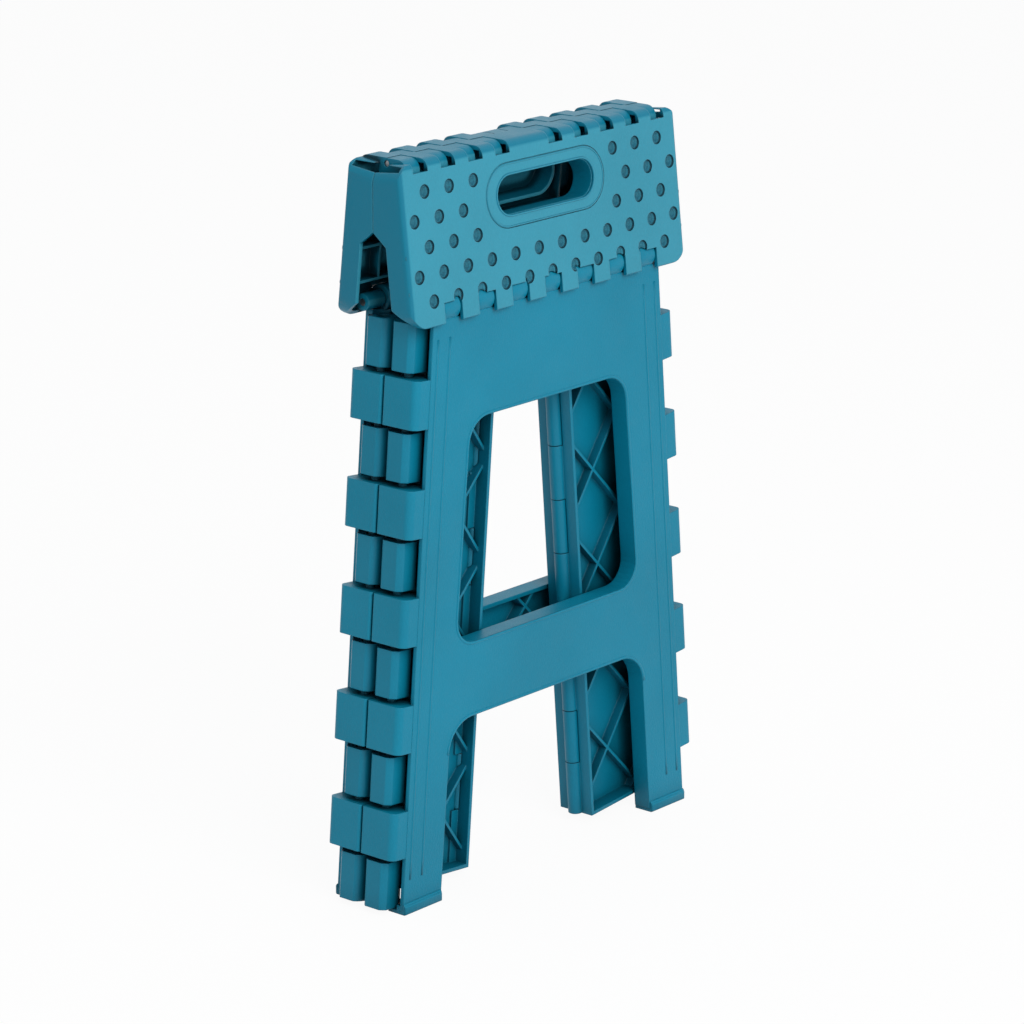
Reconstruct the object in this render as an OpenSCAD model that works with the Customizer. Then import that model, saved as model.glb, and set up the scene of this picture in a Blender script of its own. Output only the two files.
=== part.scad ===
// Folding step stool, shown folded and standing on its feet.
// Two seat halves meet at a ridge hinge, each hangs on a leg frame,
// and a two-part side panel at each side folds inward between the legs.
// The front is at -Y, the feet stand on Z = 0.

/* [Seat] */
// Width of the seat along X
seat_w = 290; // [280:1:300]
// Height of the folded stool
fold_h = 520; // [500:1:540]
// Depth of a seat half from its top face to its rim
seat_t = 23.5; // [22:0.5:25]
// Lean of a folded seat half, lower edge outward, in degrees
seat_tilt = 6.4; // [5:0.1:7]
// Distance from the ridge axis to the leg axis along the seat
pivot_run = 100; // [96:1:104]
// Depth of the leg axis below the seat's top face
pivot_depth = 10; // [9.5:0.5:11]
// How far the seat passes the leg axis
seat_lip = 10; // [8:1:12]
// Wall of the seat shells
seat_wall = 3; // [2.5:0.1:3.2]

/* [Grip slot] */
// Length of the hand slot
slot_len = 100; // [80:1:110]
// Height of the hand slot
slot_h = 26; // [22:1:28]
// Distance from the ridge axis to the middle of the slot
slot_at = 35; // [34:1:40]
// Width of the oval trim ring around the slot
ring_w = 12; // [8:0.5:13]
// Diameter of the grip dimples
dimple_d = 9.6; // [7:0.2:11]
// Depth of the grip dimples
dimple_deep = 1.2; // [0.6:0.1:1.6]

/* [Legs] */
// Half width of a leg panel at the floor
leg_half_bottom = 154.3; // [148:0.5:160]
// Half width of a leg panel at its top edge
leg_half_top = 119; // [115:0.5:122]
// Height of the top edge of a leg panel
leg_top = 411; // [408:1:411]
// Distance from the middle plane to the outer face of a leg
leg_face = 30.6; // [30.4:0.1:31]
// Depth of a leg shell
leg_depth = 13.6; // [12:0.2:14]
// Wall of the leg shells
leg_wall = 3; // [2.5:0.1:3.5]
// Width of a foot
foot_w = 38.5; // [34:0.5:42]

/* [Side panels] */
// Distance of a corner pin from the middle plane
pin_y = 12.3; // [12:0.1:12.6]
// Distance of a corner pin from the outer side face
pin_in = 12; // [11.8:0.1:12.4]
// Distance of a corner pin outside the edge of a leg's front panel
pin_out = 2; // [1.5:0.1:3]
// Thickness of a side panel
panel_t = 14.5; // [12:0.5:14.5]
// Height of one column block with its gap
block_pitch = 37.4; // [36.6:0.1:37.4]
// Gap between column blocks
block_gap = 4; // [3:0.5:5]

/* [Rods and pins] */
// Diameter of the ridge rod
ridge_rod_d = 4; // [3.5:0.1:4.5]
// Diameter of the two seat rods
seat_rod_d = 5; // [4.5:0.1:5.5]
// Diameter of the four corner pins
corner_pin_d = 6; // [5:0.1:6.4]
// Diameter of the two middle pins
mid_pin_d = 4; // [3.5:0.1:4.5]

/* [Hidden] */

$fn = 48;
teal = [0.13, 0.53, 0.65];
teal_light = [0.32, 0.65, 0.76];
steel = [0.62, 0.64, 0.66];

// Ridge hinge
ridge_rise = 4;
ridge_z = fold_h - ridge_rise;
ridge_count = 21;
ridge_seg = seat_w / ridge_count;
lug_side_gap = 0.4;
notch_side_gap = 0.3;
ridge_blank = 9;
sweep_r = 19.7;
notch_low = 6.6;
lug_reach = 18.2;
lug_low = 11;
lug_r = 8;
lug_top = ridge_rise - 0.3;
hub_back = 7;
top_r = 7;
end_cut = 0.2;

// Seat hinge
seat_end = pivot_run + seat_lip;
axis_y = (seat_t - pivot_depth) * cos(seat_tilt) + pivot_run * sin(seat_tilt);
axis_z = ridge_z - pivot_run * cos(seat_tilt) + (seat_t - pivot_depth) * sin(seat_tilt);
knuckle_pitch = 34.5;
knuckle_w = 17.8;
knuckle_r = 6;
knuckle_side_gap = 0.5;
edge_notch_h = 14.3;
rim_step = 5.5;
rim_step_from = 44;
rim_step_to = 54;
end_r = 5;
seat_corner_r = 16;
corner_from = 126;
seat_rod_len = 2 * 129;
ridge_rod_len = 2 * 130;
bore_fit = 0.1;
bore_run = 0.2;

// Leg openings
leg_slope = (leg_half_bottom - leg_half_top) / leg_top;
lean = atan(leg_slope);
foot_z = 2.5;
window_top = 337;
window_bottom = 179;
window_half_top = 82;
window_half_bottom = 98;
arch_top = 125.5;
arch_half_top = 104;
arch_half_bottom = leg_half_bottom - foot_w;
side_rim = 11;
rib_t = 2;
rib_deep = 8;
rib_step = 46;
rib_root = 1.4;

// Side panels and their columns
travel = 2 * (pivot_run - axis_y);
panel_len = travel / 2 + pin_y;
block_h = block_pitch - block_gap;
block_first = 3.5;
block_count = 11;
block_in = 8;
block_r = 5;
block_face = leg_face - 0.2;
knuckle_round = pin_in - 0.3;
knuckle_round_rear = pin_in - 1.2;
knuckle_flat = 1.8;
panel_start = 15;
panel_start_rear = 16.6;
panel_low = 14;
panel_high = 405;
panel_mid_high = 378;
panel_wall = 2.6;
mid_r = 5.6;
mid_count = 9;
mid_gap = 0.6;
split = 0.3;
open_fit = 3.4;

// Points of a polygon whose corners [x, y, radius] are rounded with short chords
function unit2(v) = v / norm(v);
function turn(a) = a > 180 ? a - 360 : a < -180 ? a + 360 : a;
function corner(a, b, c, r, n) =
    let (p = [b[0], b[1]],
        u = unit2([a[0], a[1]] - p),
        v = unit2([c[0], c[1]] - p),
        half = acos(u * v) / 2,
        m = p + unit2(u + v) * r / sin(half),
        s = p + u * r / tan(half) - m,
        e = p + v * r / tan(half) - m,
        from = atan2(s[1], s[0]),
        sweep = turn(atan2(e[1], e[0]) - from))
    r <= 0 ? [p] : [for (i = [0:n]) m + r * [cos(from + sweep * i / n), sin(from + sweep * i / n)]];
function rounded(p, n = 7) =
    [for (i = [0:len(p) - 1])
        each corner(p[(i + len(p) - 1) % len(p)], p[i], p[(i + 1) % len(p)], p[i][2], n)];

function leg_half(z) = leg_half_bottom - leg_slope * z;
function ridge_x(k) = -seat_w / 2 + ridge_seg * (k + 0.5);
function rear_owned(k) = k % 2 == 1 && k != ridge_blank;

// A bar with round ends lying along X, drawn flat
module stadium(len, h) {
    square([len - h, h], center = true);
    for (s = [-1, 1])
        translate([s * (len - h) / 2, 0]) circle(d = h);
}

// Turns a flat drawing in X and Z into a plate from y0 back to y0 + t
module plate(y0, t) {
    translate([0, y0 + t, 0]) rotate([90, 0, 0]) linear_extrude(t) children();
}

// Turns a flat drawing in Y and Z into a bar along X, centred
module bar_x(len) {
    rotate([90, 0, 90]) linear_extrude(len, center = true) children();
}

module rod_x(d, len) {
    rotate([0, 90, 0]) cylinder(d = d, h = len, center = true);
}

// Places a seat half: its ridge axis at the origin, its top face at -Y
module lean_seat() {
    translate([0, 0, ridge_z]) rotate([-seat_tilt, 0, 0]) children();
}

module seat_profile() {
    polygon(rounded([
        [0, ridge_rise, 0],
        [-seat_t, ridge_rise - seat_t * tan(seat_tilt), top_r],
        [-seat_t, -seat_end, 1.4],
        [-seat_t + seat_wall, -seat_end, 0],
        [-seat_t + seat_wall + 2, -seat_end + 3, 0],
        [-rim_step, -seat_end + 14, 0],
        [-rim_step, -rim_step_to, 0],
        [rim_step_from * tan(seat_tilt) - split, -rim_step_from, 0],
        [-split, 0, 0]], 6));
}

module seat_hollow() {
    polygon([
        [2 * end_r, ridge_rise - seat_wall],
        [-seat_t + seat_wall, ridge_rise - seat_wall - (seat_t - seat_wall) * tan(seat_tilt)],
        [-seat_t + seat_wall, -seat_end - 1],
        [2 * end_r, -seat_end - 1]]);
}

// Section across the seat that rounds the edges of its two ends
module seat_ends() {
    translate([0, 0, -seat_end - 1]) linear_extrude(seat_end + ridge_rise + 3) polygon(rounded([
        [-seat_w / 2, 2 * end_r, 0],
        [-seat_w / 2, -seat_t, end_r],
        [seat_w / 2, -seat_t, end_r],
        [seat_w / 2, 2 * end_r, 0]], 6));
}

// Outline that rounds the two lower corners of the seat
module seat_plan(inset = 0) {
    half = seat_w / 2 - inset;
    polygon(rounded([
        [-half, ridge_rise + 2, 0],
        [half, ridge_rise + 2, 0],
        [half, inset - seat_end, seat_corner_r - inset],
        [-half, inset - seat_end, seat_corner_r - inset]]));
}

// Room inside the shell: open at the back and below, walled at the ends and lower corners
module seat_room() {
    intersection() {
        bar_x(seat_w) seat_hollow();
        plate(-seat_t, seat_t + 12) {
            seat_plan(seat_wall);
            translate([-corner_from, -seat_end - 1]) square([2 * corner_from, seat_end]);
        }
    }
}

module seat_ribs() {
    for (x = [-116, -92, -68, 68, 92, 116])
        translate([x - rib_t / 2, -seat_t + seat_wall - rib_root, -84])
            cube([rib_t, 8 + rib_root, 62]);
    for (z = [-84, -60])
        translate([-seat_w / 2 + 1, -seat_t + seat_wall - rib_root, z - rib_t])
            cube([seat_w - 2, 8 + rib_root, rib_t]);
}

// Bosses between the leg knuckles that take the seat rod
module seat_bosses() {
    for (i = [-3.5:1:3.5]) {
        w = knuckle_pitch - knuckle_w;
        translate([i * knuckle_pitch, 0, 0]) {
            translate([0, pivot_depth - seat_t, -pivot_run]) rod_x(2 * knuckle_r, w);
            translate([-w / 2, -seat_t + 1, -pivot_run - 2])
                cube([w, pivot_depth - 1, knuckle_r + 1]);
        }
    }
}

// Staggered field of grip dimples, left bare around the trim ring
module dimples() {
    rows = [-93, -75, -56.5, -38, -19.5];
    bare_w = slot_len / 2 + ring_w + 5;
    bare_h = slot_h / 2 + ring_w + 3;
    for (r = [0:4])
        for (i = [-6:6]) {
            x = (i + (r % 2 == 0 ? 0 : 0.5)) * 24.4;
            z = rows[r];
            inside = abs(x) < bare_w && abs(z + slot_at) < bare_h;
            if (abs(x) < seat_w / 2 - 10 && !inside)
                translate([x, -seat_t - 1, z]) rotate([-90, 0, 0])
                    cylinder(d = dimple_d, h = dimple_deep + 1, $fn = 20);
        }
}

// Lug that reaches over the ridge axis into the other half's notch
module lug_profile() {
    translate([-hub_back, -lug_low]) square([hub_back + 1, lug_low + 2]);
    polygon(rounded([
        [-1, -lug_low, 0],
        [lug_reach - 0.5, -lug_low, 5.5],
        [lug_reach, lug_top, lug_r],
        [-1, lug_top, 0]]));
}

module ridge_lug(k) {
    translate([ridge_x(k), 0, ridge_z]) bar_x(ridge_seg - 2 * lug_side_gap) lug_profile();
}

// Room that the other half's lug needs, through the edge of this half
module ridge_notch(k) {
    w = ridge_seg + 2 * notch_side_gap;
    translate([ridge_x(k), 0, ridge_z]) rod_x(2 * sweep_r, w);
    lean_seat() translate([ridge_x(k) - w / 2, -seat_t - 1, -notch_low]) cube([w, seat_t + 2, 20]);
}

// Ends of the ridge, cut level with its axis so that the halves close flat
module ridge_end_cuts() {
    lean_seat() for (s = [-1, 1])
        translate([s * (seat_w - ridge_seg) / 2, 0, 0])
            translate([-ridge_seg / 2 - (s > 0 ? notch_side_gap : 1), -seat_t - 1, -end_cut])
                cube([ridge_seg + 1 + notch_side_gap, seat_t + 2, 20]);
}

// A seat half in the front position; rear says which lugs and notches it has
module seat_half(rear) {
    difference() {
        union() {
            difference() {
                lean_seat() seat_shell(rear);
                for (k = [1:ridge_count - 2])
                    if (rear_owned(k) != rear) ridge_notch(rear ? ridge_count - 1 - k : k);
                ridge_end_cuts();
            }
            for (k = [1:ridge_count - 2])
                if (rear_owned(k) == rear) ridge_lug(rear ? ridge_count - 1 - k : k);
        }
        translate([0, 0, ridge_z]) rod_x(ridge_rod_d + (rear ? bore_run : bore_fit), seat_w);
        lean_seat() translate([0, pivot_depth - seat_t, -pivot_run])
            rod_x(seat_rod_d + bore_run, 2 * 130);
    }
}

module seat_shell(rear) {
    difference() {
        union() {
            intersection() {
                difference() {
                    bar_x(seat_w + 2) seat_profile();
                    seat_room();
                }
                plate(-seat_t - 1, seat_t + 12) seat_plan();
                seat_ends();
            }
            seat_ribs();
            seat_bosses();
            plate(-seat_t + 1, seat_t - rim_step - 1) translate([0, -slot_at])
                stadium(slot_len + 5, slot_h + 5);
        }
        for (i = [-3:3])
            translate([i * knuckle_pitch - knuckle_w / 2, -seat_t - 1, -seat_end - 1])
                cube([knuckle_w, seat_t + 2, edge_notch_h + 1]);
        for (i = [-3:3])
            translate([i * knuckle_pitch, pivot_depth - seat_t, -pivot_run])
                rod_x(2 * knuckle_r + 1.6, knuckle_w);
        plate(rear ? -seat_t + seat_wall : -seat_t - 1, seat_t + 2) translate([0, -slot_at])
            stadium(slot_len, slot_h);
        if (!rear)
            plate(-seat_t - 1, 2.5) translate([0, -slot_at])
                stadium(slot_len + 2 * ring_w, slot_h + 1.55 * ring_w);
        dimples();
    }
}

module seat_front() {
    color(teal_light) seat_half(false);
}

module seat_rear() {
    color(teal_light) rotate([0, 0, 180]) seat_half(true);
}

// Flush oval trim pressed into the recess around the hand slot
module grip_ring() {
    color(teal_light) lean_seat() plate(-seat_t, 1.5) translate([0, -slot_at]) difference() {
        stadium(slot_len + 2 * ring_w - 0.8, slot_h + 1.55 * ring_w - 0.8);
        stadium(slot_len + 0.6, slot_h + 0.6);
    }
}

module leg_outline(inset = 0) {
    polygon([
        [-leg_half(foot_z) + inset, foot_z + inset],
        [leg_half(foot_z) - inset, foot_z + inset],
        [leg_half(leg_top) - inset, leg_top - inset],
        [-leg_half(leg_top) + inset, leg_top - inset]]);
}

module window(grow = 0) {
    polygon(rounded([
        [-window_half_bottom - grow, window_bottom - grow, 17 + grow],
        [window_half_bottom + grow, window_bottom - grow, 17 + grow],
        [window_half_top + grow, window_top + grow, 20 + grow],
        [-window_half_top - grow, window_top + grow, 20 + grow]]));
}

module arch(grow = 0) {
    polygon(rounded([
        [-arch_half_bottom - grow, -5, 0],
        [arch_half_bottom + grow, -5, 0],
        [arch_half_top + grow, arch_top + grow, 24 + grow],
        [-arch_half_top - grow, arch_top + grow, 24 + grow]]));
}

module openings(grow = 0) {
    window(grow);
    arch(grow);
}

// Rim walls: the slanted sides, the top and bottom edges, and around each opening
module leg_rims() {
    intersection() {
        leg_outline();
        union() {
            difference() {
                leg_outline();
                leg_outline(leg_wall);
                translate([-200, 2 * leg_wall]) square([400, leg_top - 3 * leg_wall]);
            }
            difference() {
                leg_outline(side_rim);
                leg_outline(side_rim + leg_wall);
            }
            openings(leg_wall);
        }
    }
}

// Crossed diagonal ribs on the hidden side
module leg_ribs() {
    difference() {
        intersection() {
            leg_outline(side_rim + 1);
            for (a = [-45, 45])
                for (i = [-9:9])
                    translate([0, 200]) rotate(a) translate([-400, i * rib_step - rib_t / 2])
                        square([800, rib_t]);
        }
        openings(1);
    }
}

// Places a corner column: its pin axis at the origin, leaning with the leg
module at_corner() {
    translate([-(leg_half_bottom + pin_out), 0, 0]) rotate([0, lean, 0])
        translate([0, -pin_y, 0]) children();
}

function is_panel_block(j) = j % 2 == 0;
function block_z(j) = block_first + block_pitch * j;

// Square block with rounded outer corners, part of the leg
module leg_block() {
    linear_extrude(block_h) polygon(rounded([
        [-pin_in, pin_y - 0.6, 2],
        [-pin_in, pin_y - block_face, block_r],
        [side_rim + 5, pin_y - block_face, 0],
        [side_rim + 5, pin_y - leg_face + leg_depth, 0],
        [block_in, pin_y - leg_face + leg_depth, 0],
        [block_in, pin_y - 0.6, 3]]));
}

module leg_columns() {
    for (m = [0, 1]) mirror([m, 0, 0]) at_corner()
        for (j = [0:block_count - 1])
            if (!is_panel_block(j)) translate([0, 0, block_z(j)]) leg_block();
}

module leg_column_cuts() {
    for (m = [0, 1]) mirror([m, 0, 0]) at_corner() {
        translate([0, 0, -10]) cylinder(d = corner_pin_d + bore_fit, h = leg_top + 30);
        for (j = [0:block_count - 1])
            if (is_panel_block(j)) translate([0, 0, block_z(j) - block_gap])
                cylinder(r = pin_in + 0.4, h = block_h + 2 * block_gap);
    }
}

module leg_knuckles() {
    w = knuckle_w - 2 * knuckle_side_gap;
    for (i = [-3:3]) translate([i * knuckle_pitch, 0, 0]) {
        translate([0, -axis_y, axis_z]) rod_x(2 * knuckle_r, w);
        translate([-w / 2, -axis_y - knuckle_r + 1, leg_top - 6])
            cube([w, 2 * knuckle_r - 2, axis_z - leg_top + 6]);
    }
}

// A leg frame in the front position
module leg_frame() {
    difference() {
        union() {
            difference() {
                union() {
                    plate(-leg_face, leg_wall) leg_outline();
                    plate(-leg_face + 1, leg_depth - 1) leg_rims();
                    plate(-leg_face + 1, leg_wall + rib_deep) leg_ribs();
                }
                plate(-leg_face - 1, leg_depth + 2) openings();
            }
            leg_columns();
            leg_knuckles();
        }
        leg_column_cuts();
        translate([0, -axis_y, axis_z]) rod_x(seat_rod_d + bore_fit, seat_w);
    }
}

module front_leg() {
    color(teal) leg_frame();
}

module rear_leg() {
    color(teal) rotate([0, 0, 180]) leg_frame();
}

// Knuckle of a side panel on its corner pin, with its bridge to the panel
module panel_knuckle(r, start) {
    intersection() {
        cylinder(r = r, h = block_h);
        translate([knuckle_flat - r, knuckle_flat - r, -1]) cube([2 * r, 2 * r, block_h + 2]);
    }
    translate([0, pin_y - panel_t - split, 0]) cube([start + 1, panel_t, block_h]);
}

module panel_outline(start) {
    polygon([
        [start, panel_low],
        [panel_len - 0.4, panel_low],
        [panel_len - 0.4, panel_mid_high],
        [start + 36, panel_mid_high],
        [start, panel_high]]);
}

module panel_inner(start) {
    polygon([
        [start + panel_wall, panel_low + panel_wall],
        [panel_len - 0.4 - panel_wall, panel_low + panel_wall],
        [panel_len - 0.4 - panel_wall, panel_mid_high - panel_wall],
        [start + 35, panel_mid_high - panel_wall],
        [start + panel_wall, panel_high - 1.6 * panel_wall]]);
}

function mid_seg() = (panel_mid_high - panel_low) / mid_count;

// A side panel half at the left, in its corner's frame: plate, rim, ribs and knuckles
module panel_half(rear) {
    start = rear ? panel_start_rear : panel_start;
    outer = pin_y - split;
    difference() {
        union() {
            plate(outer - panel_wall, panel_wall) panel_outline(start);
            plate(outer - panel_t, panel_t - 1) difference() {
                panel_outline(start);
                panel_inner(start);
            }
            plate(outer - panel_t + 5, panel_t - 6) intersection() {
                panel_outline(start);
                for (a = [-50, 50])
                    for (i = [-7:7])
                        translate([0, 200]) rotate(a) translate([-400, i * rib_step - rib_t / 2])
                            square([800, rib_t]);
            }
            for (j = [0:block_count - 1])
                if (is_panel_block(j)) translate([0, 0, block_z(j)])
                    panel_knuckle(rear ? knuckle_round_rear : knuckle_round, start);
            for (i = [0:mid_count - 1])
                if ((i % 2 == 1) == rear) translate([panel_len, pin_y, panel_low + i * mid_seg() + mid_gap / 2]) {
                    cylinder(r = mid_r, h = mid_seg() - mid_gap);
                    translate([-mid_r - 4, -mid_r + 1, 0]) cube([mid_r + 4, mid_r - 1, mid_seg() - mid_gap]);
                }
        }
        for (i = [0:mid_count - 1])
            if ((i % 2 == 1) != rear) translate([panel_len, pin_y, panel_low + i * mid_seg() - mid_gap / 2])
                cylinder(r = mid_r + 0.5, h = mid_seg() + mid_gap);
        translate([panel_len, pin_y, 0]) cylinder(d = mid_pin_d + (rear ? bore_run : bore_fit), h = fold_h);
        translate([0, 0, -10])
            cylinder(d = corner_pin_d + (rear ? open_fit : bore_run), h = fold_h);
        translate([-pin_in - 1, pin_y + split - panel_t - 40, -10]) cube([200, 40, 6]);
    }
}

module side_panel_front_left() {
    color(teal) at_corner() panel_half(false);
}

module side_panel_front_right() {
    color(teal) mirror([1, 0, 0]) at_corner() panel_half(false);
}

module side_panel_rear_left() {
    color(teal) mirror([0, 1, 0]) at_corner() panel_half(true);
}

module side_panel_rear_right() {
    color(teal) mirror([0, 1, 0]) mirror([1, 0, 0]) at_corner() panel_half(true);
}

module ridge_rod() {
    color(steel) translate([0, 0, ridge_z]) rod_x(ridge_rod_d, ridge_rod_len);
}

module seat_rod_front() {
    color(steel) translate([0, -axis_y, axis_z]) rod_x(seat_rod_d, seat_rod_len);
}

module seat_rod_rear() {
    color(steel) translate([0, axis_y, axis_z]) rod_x(seat_rod_d, seat_rod_len);
}

module corner_pin() {
    color(teal) at_corner() translate([0, 0, block_first + 3])
        cylinder(d = corner_pin_d, h = block_count * block_pitch - block_gap - 6);
}

module corner_pin_front_left() {
    corner_pin();
}

module corner_pin_front_right() {
    mirror([1, 0, 0]) corner_pin();
}

module corner_pin_rear_left() {
    mirror([0, 1, 0]) corner_pin();
}

module corner_pin_rear_right() {
    mirror([0, 1, 0]) mirror([1, 0, 0]) corner_pin();
}

module middle_pin_left() {
    color(teal) at_corner() translate([panel_len, pin_y, panel_low + 1])
        cylinder(d = mid_pin_d, h = panel_mid_high - panel_low - 2);
}

module middle_pin_right() {
    mirror([1, 0, 0]) middle_pin_left();
}

// Sole under a foot with a raised lip on the outer face
module foot_pad() {
    lip = 1.2;
    lip_h = 8;
    x0 = -leg_half(foot_z);
    color(teal) {
        translate([x0, -leg_face - lip, 0]) cube([foot_w, leg_depth + lip, foot_z]);
        translate([x0, -leg_face - lip, 0]) rotate([90, 0, 90]) linear_extrude(foot_w)
            polygon([[0, 0], [lip, 0], [lip, lip_h], [0, lip_h - lip]]);
    }
}

module foot_pad_front_left() {
    foot_pad();
}

module foot_pad_front_right() {
    mirror([1, 0, 0]) foot_pad();
}

module foot_pad_rear_left() {
    mirror([0, 1, 0]) foot_pad();
}

module foot_pad_rear_right() {
    mirror([0, 1, 0]) mirror([1, 0, 0]) foot_pad();
}

front_leg();
rear_leg();
seat_front();
seat_rear();
grip_ring();
side_panel_front_left();
side_panel_front_right();
side_panel_rear_left();
side_panel_rear_right();
ridge_rod();
seat_rod_front();
seat_rod_rear();
corner_pin_front_left();
corner_pin_front_right();
corner_pin_rear_left();
corner_pin_rear_right();
middle_pin_left();
middle_pin_right();
foot_pad_front_left();
foot_pad_front_right();
foot_pad_rear_left();
foot_pad_rear_right();
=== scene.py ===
"""Looks of the folding step stool: camera, light, plastics and moulded details."""
import math

import bmesh
import bpy
from mathutils import Matrix, Vector


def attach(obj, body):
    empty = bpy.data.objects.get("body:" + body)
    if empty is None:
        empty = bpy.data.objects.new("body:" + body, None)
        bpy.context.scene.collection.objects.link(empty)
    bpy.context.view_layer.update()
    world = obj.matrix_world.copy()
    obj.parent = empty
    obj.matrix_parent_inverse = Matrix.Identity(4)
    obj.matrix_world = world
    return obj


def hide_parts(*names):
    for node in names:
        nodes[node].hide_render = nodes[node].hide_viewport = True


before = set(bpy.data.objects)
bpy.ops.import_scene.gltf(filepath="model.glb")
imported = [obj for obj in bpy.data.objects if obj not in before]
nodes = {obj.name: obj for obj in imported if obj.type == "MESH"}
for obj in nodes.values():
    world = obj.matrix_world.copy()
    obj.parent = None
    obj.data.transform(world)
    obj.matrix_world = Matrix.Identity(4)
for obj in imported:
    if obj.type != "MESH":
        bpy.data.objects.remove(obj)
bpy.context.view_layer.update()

MM = 0.001

# Sizes of the frame that the details follow, in millimetres.
# A seat half is measured in its own plane: z from the ridge axis, y from the middle plane.
SEAT_W = 290
SEAT_T = 23.5
SEAT_TILT = math.radians(6.4)
RIDGE_Z = 516
# Height of the seat's top corners above the ridge axis
SEAT_TOP = 0.6
# Distance from the ridge axis to the middle of the hand slot
SLOT_AT = 35
SLOT_LEN = 100
SLOT_H = 26
RING_W = 12
RING_H = SLOT_H + 1.55 * RING_W
DIMPLE_D = 9.6
DIMPLE_ROWS = (-93, -75, -56.5, -38, -19.5)
DIMPLE_STEP = 24.4
# Steps on each side of the middle, and bare margins at the seat's ends and around the ring
DIMPLE_COUNT = 6
DIMPLE_EDGE = 10
DIMPLE_BARE_X = 5
DIMPLE_BARE_Z = 3
# Distance from the middle plane to the outer face of a leg, and its half width by height
LEG_FACE = 30.6
LEG_HALF_BOTTOM = 154.3
LEG_HALF_TOP = 119
LEG_TOP = 411
FOOT_W = 38.5
FOOT_Z = 2.5
LIP = 1.2
# Half widths and heights of the window's and the arch's lower and upper corners
WINDOW_LOW = (98, 179)
WINDOW_HIGH = (82, 337)
WINDOW_RADII = (17, 20)
ARCH_LOW = (115.8, -5)
ARCH_HIGH = (104, 125.5)
ARCH_RADII = (1, 24)
KNUCKLE_PITCH = 34.5
KNUCKLE_W = 17.8
KNUCKLE_AT = range(-3, 4)
ROD_Y = 10 - SEAT_T
ROD_Z = -100

# Sizes that only the looks have, in millimetres
BARREL_R = 9.4
BARREL_RIM = 1.2
BARREL_END_GAP = 0.5
NOTCH_GAP_R = 0.8
NOTCH_GAP_X = 0.1
BOWL_R = 6.3
TOP_CORNER_R = 13
# Points of the solid's mesh closer than this are joined, in metres
WELD = 2e-6
# How far a cutter reaches past the face that it cuts
CUT_PAST = 3
CUT_PAST_FACE = 2
# Profile of the bar above a sole: height above the floor, and distance behind the lip's face
PAD_BAR = ((0.4, -0.9), (5.6, -0.9), (6.4, -0.6), (6.7, 0), (6.7, 1.6), (0, 1.6), (0, -0.2))
PAD_BAR_END = 0.4
PAD_BAR_ROUND = 0.35
# Beads: width and height of each, and how deep their feet sit in the face
RING_BEAD_IN = (1.6, 0.55)
RING_BEAD_OUT = (1.2, 0.3)
CREASE_BEAD = (2.0, 0.28)
RIM_BEAD = (2.2, 0.45)
BEAD_SINK = 0.3
# Distances from an edge to the middle of its bead
RING_BEAD_IN_AT = 1.1
RING_BEAD_OUT_AT = 1.2
RIM_BEAD_AT = 1.1
CREASE_INSETS = (5.5, 17.5)
CREASE_LOW = 24
CREASE_HIGH = 398
# The arch's bead ends at this height above the floor, and rim beads start this deep in the face
ARCH_BEAD_LOW = 12
RIM_BEAD_DEPTH = 0.02

# Corners of the shading: edges with a larger angle stay sharp
SHARP_SEAT = math.radians(33)
SHARP_BARREL = math.radians(40)
SHARP_PAD = math.radians(60)

# Colours as linear values
TEAL = (0.001, 0.200, 0.312)
# Painted light: the seat's colour is lighter than the legs' for the light and sheen its faces get;
# the plastic is the same
TEAL_SEAT_LIT = (0.032, 0.260, 0.362)
# Painted shade: the darker colour of the seat's ends and edges, which face away from the light;
# the plastic is the same
TEAL_END_SHADE = (0.001, 0.175, 0.275)
TEAL_PANEL = (0.001, 0.185, 0.290)
STEEL = (0.50, 0.52, 0.54)
# Painted highlight: the plastic's edges are painted paler, with this gain and lift of the colour
# and this share at the edges
EDGE_HIGHLIGHT_GAIN = 1.35
EDGE_HIGHLIGHT_LIFT = 0.04
EDGE_HIGHLIGHT_SHARE = 0.30

# Painted shade in hollows and between parts: how far they look for walls, in metres, which share
# of open sky starts and ends the change, and the share of the colour that is left
BOWL_REACH = 0.008
BOWL_SKY = (0.95, 0.80)
BOWL_SHADE = 0.22
SHELL_REACH = 0.045
SHELL_SKY = (0.70, 0.15)
SHELL_SHADE = 0.30

# Plastic: scales of the noises per metre, slant and stretch of the grain, gloss and bump
GRAIN_SCALE = 1150
GRAIN_SLANT = math.radians(42)
GRAIN_STRETCH = 0.42
CLOUD_SCALE = 9
FLOW_SCALE = 38
SPECK_SCALE = 2600
EDGE_R = 0.0011
PLASTIC_IOR = 1.49
PLASTIC_SPECULAR = 0.24
GRAIN_HEIGHT = 0.00025
FLOW_SHARE = 0.6

# Steel: fine lines drawn along the rod, and blotches
LINE_SCALE = 3000
LINE_STRETCH = 0.02
BLOTCH_SCALE = 60
LINE_HEIGHT = 0.0001

# Studio, with lengths in metres
SKY = (0.95, 0.98, 1)
SKY_LIGHT = 0.5
FLOOR_GREY = 0.9
FLOOR_R = 9
# Share of plain white in what the camera sees of the floor; the rest shows the shadow
FLOOR_WHITE = 0.94


# Camera

PHOTO_PX = 1024
FOCAL_PX = 4184.85
CAM_AZ = math.radians(49.44)
CAM_PITCH = math.radians(15.64)
CAM_DISTANCE = 2.9214
CAM_TARGET = Vector((0, 0, 0.275))
# Where the target lies in the photograph, from its centre, in pixels right and down
TARGET_PX = (3.54, -37.03)


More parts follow.
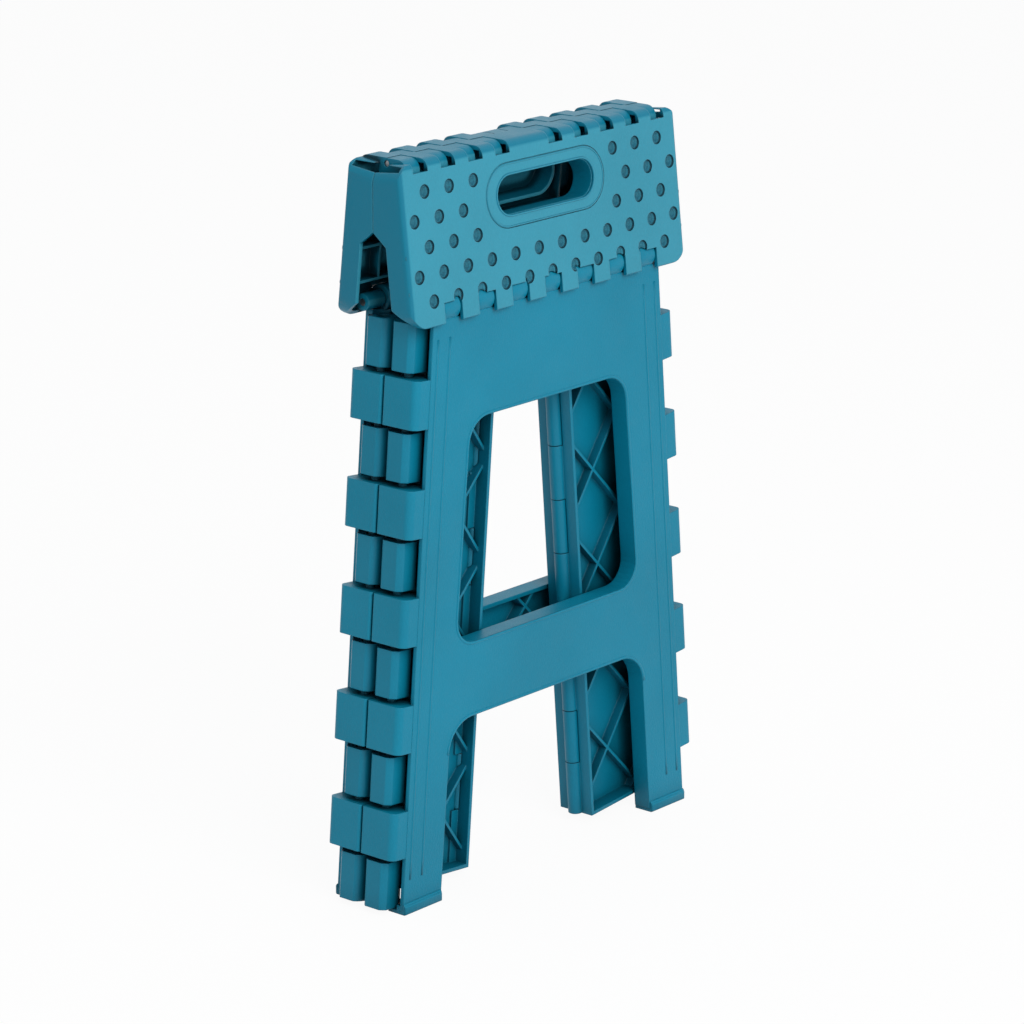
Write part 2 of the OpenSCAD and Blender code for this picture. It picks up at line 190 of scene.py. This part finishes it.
def add_camera():
    """The photograph's camera, turned so that the target lies where the photograph shows it."""
    back = Vector((
        -math.sin(CAM_AZ) * math.cos(CAM_PITCH),
        -math.cos(CAM_AZ) * math.cos(CAM_PITCH),
        math.sin(CAM_PITCH),
    ))
    right = (-back).cross(Vector((0, 0, 1))).normalized()
    up = right.cross(-back)
    aim = -back * FOCAL_PX - right * TARGET_PX[0] + up * TARGET_PX[1]
    data = bpy.data.cameras.new("camera")
    data.lens = FOCAL_PX / PHOTO_PX * data.sensor_width
    camera = bpy.data.objects.new("camera", data)
    camera.location = CAM_TARGET + back * CAM_DISTANCE
    camera.rotation_euler = aim.to_track_quat("-Z", "Y").to_euler()
    bpy.context.collection.objects.link(camera)
    bpy.context.scene.camera = camera


# Light and floor

def add_area(name, location, size, power):
    """Square lamp that faces the stool."""
    data = bpy.data.lights.new(name, "AREA")
    data.size = size
    data.energy = power
    lamp = bpy.data.objects.new(name, data)
    lamp.location = location
    lamp.rotation_euler = (CAM_TARGET - Vector(location)).to_track_quat("-Z", "Y").to_euler()
    bpy.context.collection.objects.link(lamp)


def seen_directly(tree):
    """1 for rays that show the background: camera, glossy and transmission rays."""
    rays = tree.nodes.new("ShaderNodeLightPath").outputs
    shown = math_node(tree, "MAXIMUM", rays["Is Camera Ray"], rays["Is Glossy Ray"])
    return math_node(tree, "MAXIMUM", shown, rays["Is Transmission Ray"])


def mix_to(out, tree, factor, first, last):
    """Sends a mix of two shaders to the surface of an output node."""
    mix = tree.nodes.new("ShaderNodeMixShader")
    tree.links.new(factor, mix.inputs[0])
    tree.links.new(first.outputs[0], mix.inputs[1])
    tree.links.new(last.outputs[0], mix.inputs[2])
    tree.links.new(mix.outputs[0], out.inputs["Surface"])


def add_world():
    """Soft sky light, seen as plain white."""
    world = bpy.data.worlds.new("studio")
    bpy.context.scene.world = world
    world.use_nodes = True
    tree = world.node_tree
    tree.nodes.clear()
    light = tree.nodes.new("ShaderNodeBackground")
    light.inputs["Color"].default_value = (*SKY, 1)
    light.inputs["Strength"].default_value = SKY_LIGHT
    white = tree.nodes.new("ShaderNodeBackground")
    white.inputs["Color"].default_value = (1, 1, 1, 1)
    white.inputs["Strength"].default_value = 1
    out = tree.nodes.new("ShaderNodeOutputWorld")
    mix_to(out, tree, seen_directly(tree), light, white)


def add_floor():
    """White floor that keeps a faint shadow under the feet."""
    mesh = bpy.data.meshes.new("floor")
    form = bmesh.new()
    bmesh.ops.create_circle(form, cap_ends=True, segments=96, radius=FLOOR_R)
    form.to_mesh(mesh)
    form.free()
    floor = bpy.data.objects.new("floor", mesh)
    bpy.context.collection.objects.link(floor)
    material = bpy.data.materials.new("floor_white")
    material.use_nodes = True
    tree = material.node_tree
    tree.nodes.clear()
    matte = tree.nodes.new("ShaderNodeBsdfDiffuse")
    matte.inputs["Color"].default_value = (FLOOR_GREY, FLOOR_GREY, FLOOR_GREY, 1)
    glow = tree.nodes.new("ShaderNodeEmission")
    glow.inputs["Color"].default_value = (1, 1, 1, 1)
    glow.inputs["Strength"].default_value = 1
    out = tree.nodes.new("ShaderNodeOutputMaterial")
    share = math_node(tree, "MULTIPLY", seen_directly(tree), FLOOR_WHITE)
    mix_to(out, tree, share, matte, glow)
    mesh.materials.append(material)


# Materials

def noise(tree, vector, scale, detail, rough=0.5):
    node = tree.nodes.new("ShaderNodeTexNoise")
    node.inputs["Scale"].default_value = scale
    node.inputs["Detail"].default_value = detail
    node.inputs["Roughness"].default_value = rough
    tree.links.new(vector, node.inputs["Vector"])
    return node.outputs["Fac"]


def ramp(tree, value, low, high, first, last):
    """Maps value from low..high to first..last."""
    node = tree.nodes.new("ShaderNodeMapRange")
    node.inputs["From Min"].default_value = low
    node.inputs["From Max"].default_value = high
    node.inputs["To Min"].default_value = first
    node.inputs["To Max"].default_value = last
    tree.links.new(value, node.inputs["Value"])
    return node.outputs["Result"]


def math_node(tree, operation, a, b):
    node = tree.nodes.new("ShaderNodeMath")
    node.operation = operation
    for slot, value in enumerate((a, b)):
        if isinstance(value, (int, float)):
            node.inputs[slot].default_value = value
        else:
            tree.links.new(value, node.inputs[slot])
    return node.outputs[0]


def mix_colour(tree, factor, first, last):
    node = tree.nodes.new("ShaderNodeMix")
    node.data_type = "RGBA"
    tree.links.new(factor, node.inputs[0])
    for slot, value in ((6, first), (7, last)):
        if isinstance(value, tuple):
            node.inputs[slot].default_value = (*value, 1)
        else:
            tree.links.new(value, node.inputs[slot])
    return node.outputs[2]


def shade(colour, factor):
    return tuple(min(1.0, c * factor) for c in colour)


def edge_mask(tree, radius):
    """1 on edges and creases, 0 on flat faces, and the rounded normal itself."""
    bevel = tree.nodes.new("ShaderNodeBevel")
    bevel.samples = 6
    bevel.inputs["Radius"].default_value = radius
    flat = tree.nodes.new("ShaderNodeNewGeometry")
    dot = tree.nodes.new("ShaderNodeVectorMath")
    dot.operation = "DOT_PRODUCT"
    tree.links.new(bevel.outputs[0], dot.inputs[0])
    tree.links.new(flat.outputs["Normal"], dot.inputs[1])
    return ramp(tree, dot.outputs["Value"], 0.99, 0.80, 0, 1), bevel.outputs[0]


def face_mask(tree):
    """1 on the faces of the seat and 0 on its ends and edges, from the surface's own direction; it
    places the painted shade of the ends.
    """
    normal = tree.nodes.new("ShaderNodeTexCoord").outputs["Normal"]
    parts = tree.nodes.new("ShaderNodeSeparateXYZ")
    tree.links.new(normal, parts.inputs[0])
    facing = math_node(tree, "ABSOLUTE", parts.outputs["Y"], 0)
    return ramp(tree, facing, 0.90, 0.975, 0, 1)


def painted_shade_mask(tree, reach, alone, sky):
    """1 in hollows and 0 in the open, where shade is painted; alone counts only the walls of the
    piece itself.
    """
    open_sky = tree.nodes.new("ShaderNodeAmbientOcclusion")
    open_sky.samples = 8
    open_sky.only_local = alone
    open_sky.inputs["Distance"].default_value = reach
    return ramp(tree, open_sky.outputs["AO"], *sky, 0, 1)


def moulded(name, base, roughness, grain, end_shade=None):
    """Satin polypropylene: fine diagonal grain, faint flow marks, and soft edges painted paler as
    a highlight.

    Given the seat's end colour, the grained colour shows only on the faces of the seat, and
    its ends and edges get that darker colour as painted shade, by the way they face. Painted shade
    also darkens hollows.
    """
    material = bpy.data.materials.new(name)
    material.use_nodes = True
    tree = material.node_tree
    shader = tree.nodes["Principled BSDF"]
    place = tree.nodes.new("ShaderNodeTexCoord").outputs["Object"]
    slant = tree.nodes.new("ShaderNodeMapping")
    slant.inputs["Rotation"].default_value = (0, GRAIN_SLANT, 0)
    slant.inputs["Scale"].default_value = (1, 1, GRAIN_STRETCH)
    tree.links.new(place, slant.inputs["Vector"])
    leather = noise(tree, slant.outputs[0], GRAIN_SCALE, 3, 0.6)
    cloudy = noise(tree, place, CLOUD_SCALE, 3)
    flow = noise(tree, place, FLOW_SCALE, 2)
    speck = noise(tree, place, SPECK_SCALE, 1)
    edges, soft = edge_mask(tree, EDGE_R)

    clouds = ramp(tree, cloudy, 0.35, 0.65, 0, 1)
    tone = mix_colour(tree, clouds, shade(base, 0.94), shade(base, 1.07))
    pores = ramp(tree, leather, 0.4, 0.7, 0, 0.16)
    colour = mix_colour(tree, pores, tone, shade(base, 1.55))
    # Painted shade: the seat's ends and edges get the darker colour, by the way they face
    if end_shade:
        colour = mix_colour(tree, face_mask(tree), end_shade, colour)
    # Painted highlight: the edges are mixed towards a paler colour
    edge_highlight = tuple(c * EDGE_HIGHLIGHT_GAIN + EDGE_HIGHLIGHT_LIFT for c in base)
    colour = mix_colour(tree, math_node(tree, "MULTIPLY", edges, EDGE_HIGHLIGHT_SHARE), colour, edge_highlight)
    # Painted shade: hollows are darkened, the seat's bowls by its own walls and the other pieces'
    # gaps by all walls near them
    if end_shade:
        hollow_shade = painted_shade_mask(tree, BOWL_REACH, True, BOWL_SKY)
        colour = mix_colour(tree, hollow_shade, colour, shade(end_shade, BOWL_SHADE))
    else:
        hollow_shade = painted_shade_mask(tree, SHELL_REACH, False, SHELL_SKY)
        colour = mix_colour(tree, hollow_shade, colour, shade(base, SHELL_SHADE))
    tree.links.new(colour, shader.inputs["Base Color"])

    gloss = math_node(tree, "ADD", ramp(tree, flow, 0.3, 0.7, -0.045, 0.045),
                      ramp(tree, speck, 0.3, 0.7, roughness - 0.04, roughness + 0.05))
    tree.links.new(gloss, shader.inputs["Roughness"])
    shader.inputs["Specular IOR Level"].default_value = PLASTIC_SPECULAR
    shader.inputs["IOR"].default_value = PLASTIC_IOR

    bump = tree.nodes.new("ShaderNodeBump")
    bump.inputs["Strength"].default_value = grain
    bump.inputs["Distance"].default_value = GRAIN_HEIGHT
    height = math_node(tree, "ADD", leather, math_node(tree, "MULTIPLY", flow, FLOW_SHARE))
    tree.links.new(height, bump.inputs["Height"])
    tree.links.new(soft, bump.inputs["Normal"])
    tree.links.new(bump.outputs[0], shader.inputs["Normal"])
    return material


def drawn_steel(name):
    """Plain steel rod with fine drawing lines."""
    material = bpy.data.materials.new(name)
    material.use_nodes = True
    tree = material.node_tree
    shader = tree.nodes["Principled BSDF"]
    place = tree.nodes.new("ShaderNodeTexCoord").outputs["Object"]
    stretch = tree.nodes.new("ShaderNodeMapping")
    stretch.inputs["Scale"].default_value = (1, 1, LINE_STRETCH)
    tree.links.new(place, stretch.inputs["Vector"])
    lines = noise(tree, stretch.outputs[0], LINE_SCALE, 2)
    blotch = ramp(tree, noise(tree, place, BLOTCH_SCALE, 3), 0.35, 0.7, 0, 1)
    colour = mix_colour(tree, blotch, shade(STEEL, 0.8), STEEL)
    tree.links.new(colour, shader.inputs["Base Color"])
    tree.links.new(ramp(tree, lines, 0.3, 0.7, 0.25, 0.42), shader.inputs["Roughness"])
    shader.inputs["Metallic"].default_value = 1
    bump = tree.nodes.new("ShaderNodeBump")
    bump.inputs["Strength"].default_value = 0.2
    bump.inputs["Distance"].default_value = LINE_HEIGHT
    tree.links.new(lines, bump.inputs["Height"])
    tree.links.new(bump.outputs[0], shader.inputs["Normal"])
    return material


def dress(names, material):
    """Gives nodes of the frame a material."""
    for name in names:
        mesh = nodes[name].data
        mesh.materials.clear()
        mesh.materials.append(material)


# Moulded details

def seat_place(x, y, z):
    """A point of the front seat half, from the ridge axis, in metres in the frame."""
    c, s = math.cos(SEAT_TILT), math.sin(SEAT_TILT)
    return Vector((x, y * c + z * s, RIDGE_Z - y * s + z * c)) * MM


def turned(point):
    """The same point on the rear half, half a turn about the upright axis."""
    return Vector((-point.x, -point.y, point.z))


def finish_piece(name, form, material, body):
    """Makes a piece from a form and lets it ride on a body."""
    mesh = bpy.data.meshes.new(name)
    bmesh.ops.recalc_face_normals(form, faces=form.faces)
    form.to_mesh(mesh)
    form.free()
    for face in mesh.polygons:
        face.use_smooth = True
    mesh.materials.append(material)
    piece = bpy.data.objects.new(name, mesh)
    bpy.context.collection.objects.link(piece)
    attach(piece, body)
    return piece


def dimple_centres():
    """Staggered rows of [x, z], without those at the hand slot and its ring."""
    bare_x = SLOT_LEN / 2 + RING_W + DIMPLE_BARE_X
    bare_z = SLOT_H / 2 + RING_W + DIMPLE_BARE_Z
    for row, z in enumerate(DIMPLE_ROWS):
        for i in range(-DIMPLE_COUNT, DIMPLE_COUNT + 1):
            x = (i + (row % 2) * 0.5) * DIMPLE_STEP
            at_ring = abs(x) < bare_x and abs(z + SLOT_AT) < bare_z
            if abs(x) < SEAT_W / 2 - DIMPLE_EDGE and not at_ring:
                yield x, z


def add_ball(form, centre, radius, rings=10, segments=20):
    bmesh.ops.create_uvsphere(form, u_segments=segments, v_segments=rings, radius=radius,
                              matrix=Matrix.Translation(centre))


def add_drum(form, centre, radius, width, segments=40):
    """A plain cylinder along X."""
    matrix = Matrix.Translation(centre) @ Matrix.Rotation(math.pi / 2, 4, "Y")
    bmesh.ops.create_cone(form, cap_ends=True, segments=segments, radius1=radius, radius2=radius,
                          depth=width, matrix=matrix)


def add_prism(form, outline, y_front, y_back):
    """A closed prism through the seat from an outline of [x, z] in the seat's own plane."""
    front = [form.verts.new(seat_place(x, y_front, z)) for x, z in outline]
    back = [form.verts.new(seat_place(x, y_back, z)) for x, z in outline]
    form.faces.new(front)
    form.faces.new(list(reversed(back)))
    for k in range(len(outline)):
        n = (k + 1) % len(outline)
        form.faces.new((front[n], front[k], back[k], back[n]))


def quarter_turn(steps):
    """Angles from 0 to a right angle."""
    return [math.pi / 2 * k / steps for k in range(steps + 1)]


def corner_outline(side, steps=10):
    """What lies outside the rounded top corner of the seat at one end."""
    end, r = SEAT_W / 2, TOP_CORNER_R
    arc = [(end - r + r * math.cos(a), SEAT_TOP - r + r * math.sin(a))
           for a in quarter_turn(steps)]
    past = [(end - r, SEAT_TOP + CUT_PAST), (end + CUT_PAST, SEAT_TOP + CUT_PAST),
            (end + CUT_PAST, SEAT_TOP - r)]
    return [(side * x, z) for x, z in arc + past]


def bowl_cutters(form):
    """Balls whose caps are the bowls of the dimples."""
    above_face = math.sqrt(BOWL_R ** 2 - (DIMPLE_D / 2) ** 2)
    for x, z in dimple_centres():
        add_ball(form, seat_place(x, -SEAT_T - above_face, z), BOWL_R * MM)


def barrel_cutters(form):
    """Room for the leg's barrels in the seat's lower edge."""
    for i in KNUCKLE_AT:
        add_drum(form, seat_place(i * KNUCKLE_PITCH, ROD_Y, ROD_Z),
                 (BARREL_R + NOTCH_GAP_R) * MM, (KNUCKLE_W + NOTCH_GAP_X) * MM)


def corner_cutters(form):
    """What goes from the top corners at both ends."""
    for side in (-1, 1):
        add_prism(form, corner_outline(side), -SEAT_T - CUT_PAST_FACE, CUT_PAST)


def cut_away(piece, cutters, rear):
    """Cuts the forms of one kind of cutter out of a seat half."""
    form = bmesh.new()
    cutters(form)
    if rear:
        bmesh.ops.rotate(form, verts=form.verts, cent=(0, 0, 0),
                         matrix=Matrix.Rotation(math.pi, 3, "Z"))
    bmesh.ops.recalc_face_normals(form, faces=form.faces)
    mesh = bpy.data.meshes.new("cutter")
    form.to_mesh(mesh)
    form.free()
    tool = bpy.data.objects.new("cutter", mesh)
    bpy.context.collection.objects.link(tool)
    cut = piece.modifiers.new("cut", "BOOLEAN")
    cut.operation = "DIFFERENCE"
    cut.solver = "EXACT"
    cut.object = tool
    bpy.context.view_layer.update()
    evaluated = piece.evaluated_get(bpy.context.evaluated_depsgraph_get())
    made = bpy.data.meshes.new_from_object(evaluated)
    piece.modifiers.clear()
    piece.data = made
    bpy.data.objects.remove(tool)
    bpy.data.meshes.remove(mesh)


def carve_seat(node, body, rear, material):
    """The seat half with its bowls, notches and corners cut, in place of the plain node."""
    form = bmesh.new()
    form.from_mesh(nodes[node].data)
    bmesh.ops.remove_doubles(form, verts=form.verts, dist=WELD)
    mesh = bpy.data.meshes.new(node + "_carved")
    form.to_mesh(mesh)
    form.free()
    # The solid's own normals don't fit the cut mesh
    for name in ("custom_normal", "sharp_face", "sharp_edge"):
        if name in mesh.attributes:
            mesh.attributes.remove(mesh.attributes[name])
    piece = bpy.data.objects.new(node + "_carved", mesh)
    bpy.context.collection.objects.link(piece)

    for cutters in (bowl_cutters, barrel_cutters, corner_cutters):
        cut_away(piece, cutters, rear)
    made = piece.data
    made.materials.clear()
    made.materials.append(material)
    for face in made.polygons:
        face.material_index = 0
        face.use_smooth = True
    made.set_sharp_from_angle(angle=SHARP_SEAT)
    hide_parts(node)
    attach(piece, body)


def add_barrels(name, rear, body, material):
    """Round knuckles of a leg that show in the notches of the seat's lower edge."""
    steps, segments = 4, 48
    half = KNUCKLE_W / 2 - BARREL_END_GAP - BARREL_RIM
    ends = [(half + BARREL_RIM * math.sin(a), BARREL_R - BARREL_RIM + BARREL_RIM * math.cos(a))
            for a in quarter_turn(steps)]
    profile = [(-x, r) for x, r in reversed(ends)] + ends
    form = bmesh.new()
    for i in KNUCKLE_AT:
        loops = []
        for x, r in profile:
            loop = []
            for k in range(segments):
                a = 2 * math.pi * k / segments
                point = seat_place(i * KNUCKLE_PITCH + x, ROD_Y, ROD_Z)
                point += Vector((0, r * math.cos(a), r * math.sin(a))) * MM
                loop.append(form.verts.new(turned(point) if rear else point))
            loops.append(loop)
        for first, last in zip(loops, loops[1:]):
            for k in range(segments):
                n = (k + 1) % segments
                form.faces.new((first[k], first[n], last[n], last[k]))
        form.faces.new(loops[0])
        form.faces.new(list(reversed(loops[-1])))
    piece = finish_piece(name, form, material, body)
    piece.data.set_sharp_from_angle(angle=SHARP_BARREL)


def add_pad_bar(name, rear, side, body, material):
    """Rounded bar along the front edge of a foot."""
    face = 1 if rear else -1
    outer = leg_half(FOOT_Z)
    form = bmesh.new()
    loops = []
    for x in (outer - FOOT_W + PAD_BAR_END, outer - PAD_BAR_END):
        loops.append([form.verts.new(Vector((side * x, face * (LEG_FACE + LIP - y), z)) * MM)
                      for z, y in PAD_BAR])
    for k in range(len(PAD_BAR)):
        n = (k + 1) % len(PAD_BAR)
        form.faces.new((loops[0][k], loops[0][n], loops[1][n], loops[1][k]))
    form.faces.new(loops[0])
    form.faces.new(list(reversed(loops[1])))
    bmesh.ops.recalc_face_normals(form, faces=form.faces)
    bmesh.ops.bevel(form, geom=list(form.edges), offset=PAD_BAR_ROUND * MM, segments=2,
                    affect="EDGES", profile=0.5)
    piece = finish_piece(name, form, material, body)
    piece.data.set_sharp_from_angle(angle=SHARP_PAD)


def sweep(form, path, section, closed):
    """Sweeps a flat section, given as (side, out) pairs, along path points with a normal each."""
    loops = []
    count = len(path)
    for i, (point, normal) in enumerate(path):
        before = path[i - 1][0] if closed or i else point
        after = path[(i + 1) % count][0] if closed or i + 1 < count else point
        along = (after - before).normalized()
        side = along.cross(normal).normalized()
        loops.append([form.verts.new(point + (side * a + normal * b) * MM) for a, b in section])
    pairs = count if closed else count - 1
    for i in range(pairs):
        first, last = loops[i], loops[(i + 1) % count]
        for k in range(len(section)):
            n = (k + 1) % len(section)
            form.faces.new((first[k], first[n], last[n], last[k]))
    if not closed:
        form.faces.new(loops[0])
        form.faces.new(list(reversed(loops[-1])))


def bead_section(size, steps=6):
    """Low rounded bead: an arc above the face, with a flat foot sunk into it."""
    half, height = size[0] / 2, size[1]
    arc = [(-half * math.cos(math.pi * k / steps), height * math.sin(math.pi * k / steps))
           for k in range(steps + 1)]
    return arc + [(half, -BEAD_SINK), (-half, -BEAD_SINK)]


def stadium_path(length, height, y, steps=14):
    """Points of a stadium around the hand slot on the front seat half's face."""
    normal = (seat_place(0, -1, 0) - seat_place(0, 0, 0)).normalized()
    r = height / 2
    points = []
    for sign in (1, -1):
        for k in range(steps + 1):
            a = math.radians(-90 + 180 * k / steps) + (0 if sign > 0 else math.pi)
            x = sign * (length / 2 - r) + r * math.cos(a)
            z = -SLOT_AT + r * math.sin(a)
            points.append((seat_place(x, y, z), normal))
    return points


def add_ring_beads(material):
    """Beads along the inner and the outer edge of the trim ring."""
    inner = 2 * RING_BEAD_IN_AT
    outer = 2 * RING_BEAD_OUT_AT
    form = bmesh.new()
    sweep(form, stadium_path(SLOT_LEN + inner, SLOT_H + inner, -SEAT_T),
          bead_section(RING_BEAD_IN), True)
    sweep(form, stadium_path(SLOT_LEN + 2 * RING_W - outer, RING_H - outer, -SEAT_T),
          bead_section(RING_BEAD_OUT), True)
    finish_piece("grip_ring_beads", form, material, "seat_front")


def leg_half(z):
    """Half width of the slanted leg frame at a height."""
    return LEG_HALF_BOTTOM - (LEG_HALF_BOTTOM - LEG_HALF_TOP) / LEG_TOP * z


def add_leg_creases(name, rear, body, material):
    """Shallow beads that run down the outer face near both slanted edges."""
    steps = 24
    form = bmesh.new()
    face = 1 if rear else -1
    for side in (-1, 1):
        for inset in CREASE_INSETS:
            path = []
            for k in range(steps + 1):
                z = CREASE_LOW + (CREASE_HIGH - CREASE_LOW) * k / steps
                x = side * (leg_half(z) - inset)
                path.append((Vector((x, face * LEG_FACE, z)) * MM, Vector((0, face, 0))))
            sweep(form, path, bead_section(CREASE_BEAD), False)
    finish_piece(name, form, material, body)


def rim_path(rear, low, high, radii, steps=8):
    """Rounded outline on the outer face of a leg.

    low and high are the half width and the height of its lower and upper
    corners, and radii those of the same corners.
    """
    face = 1 if rear else -1
    corners = [(-low[0], low[1]), low, high, (-high[0], high[1])]
    path = []
    for i, (x, z) in enumerate(corners):
        r = radii[i // 2]
        here = Vector((x, z))
        a = (Vector(corners[i - 1]) - here).normalized()
        b = (Vector(corners[(i + 1) % len(corners)]) - here).normalized()
        half = a.angle(b) / 2
        centre = here + (a + b).normalized() * r / math.sin(half)
        start = here + a * r / math.tan(half) - centre
        end = here + b * r / math.tan(half) - centre
        turn = start.angle_signed(end)
        for k in range(steps + 1):
            point = centre + Matrix.Rotation(-turn * k / steps, 2) @ start
            path.append((Vector((point.x, face * (LEG_FACE - RIM_BEAD_DEPTH), point.y)) * MM,
                         Vector((0, face, 0))))
    return path


def add_window_bead(name, rear, body, material):
    """Rounded lip around the window of a leg frame."""
    grow = RIM_BEAD_AT
    low = (WINDOW_LOW[0] + grow, WINDOW_LOW[1] - grow)
    high = (WINDOW_HIGH[0] + grow, WINDOW_HIGH[1] + grow)
    radii = [r + grow for r in WINDOW_RADII]
    form = bmesh.new()
    sweep(form, rim_path(rear, low, high, radii), bead_section(RIM_BEAD), True)
    finish_piece(name, form, material, body)


def add_arch_bead(name, rear, body, material):
    """Rounded lip around the arch between the feet, open below."""
    grow = RIM_BEAD_AT
    low = (ARCH_LOW[0] + grow, ARCH_LOW[1])
    high = (ARCH_HIGH[0] + grow, ARCH_HIGH[1] + grow)
    radii = (ARCH_RADII[0], ARCH_RADII[1] + grow)
    path = [step for step in rim_path(rear, low, high, radii) if step[0].z > ARCH_BEAD_LOW * MM]
    form = bmesh.new()
    sweep(form, path, bead_section(RIM_BEAD), False)
    finish_piece(name, form, material, body)


add_camera()
add_world()
add_floor()
# Place and size in metres, power in watts
add_area("key", (-0.9, -2.6, 2.0), size=2.0, power=62)
add_area("top", (0.2, 0.2, 2.7), size=1.6, power=9)

teal = moulded("teal_legs", TEAL, roughness=0.42, grain=0.8)
teal_panel = moulded("teal_panels", TEAL_PANEL, roughness=0.38, grain=0.2)
teal_seat = moulded("teal_seat", TEAL_SEAT_LIT, roughness=0.40, grain=0.5, end_shade=TEAL_END_SHADE)
steel = drawn_steel("rod_steel")

CORNERS = ("front_left", "front_right", "rear_left", "rear_right")
HALVES = (("front", False), ("rear", True))

dress(["front_leg", "rear_leg"] + [f"foot_pad_{c}" for c in CORNERS], teal)
dress([f"side_panel_{c}" for c in CORNERS], teal_panel)
dress([f"corner_pin_{c}" for c in CORNERS], teal_panel)
dress(["middle_pin_left", "middle_pin_right"], teal_panel)
dress(["seat_front", "seat_rear", "grip_ring"], teal_seat)
dress(["ridge_rod", "seat_rod_front", "seat_rod_rear"], steel)

for half, is_rear in HALVES:
    carve_seat(f"seat_{half}", f"seat_{half}", is_rear, teal_seat)
for half, is_rear in HALVES:
    add_barrels(f"{half}_leg_barrels", is_rear, f"{half}_leg", teal)
for half, is_rear in HALVES:
    for end, side in (("left", -1), ("right", 1)):
        add_pad_bar(f"pad_bar_{half}_{end}", is_rear, side, f"{half}_leg", teal)
add_ring_beads(teal_seat)
for add_to_leg, detail in ((add_leg_creases, "leg_creases"), (add_window_bead, "window_bead"),
                           (add_arch_bead, "arch_bead")):
    for half, is_rear in HALVES:
        add_to_leg(f"{half}_{detail}", is_rear, f"{half}_leg", teal)

bpy.context.scene.view_settings.view_transform = "Standard"
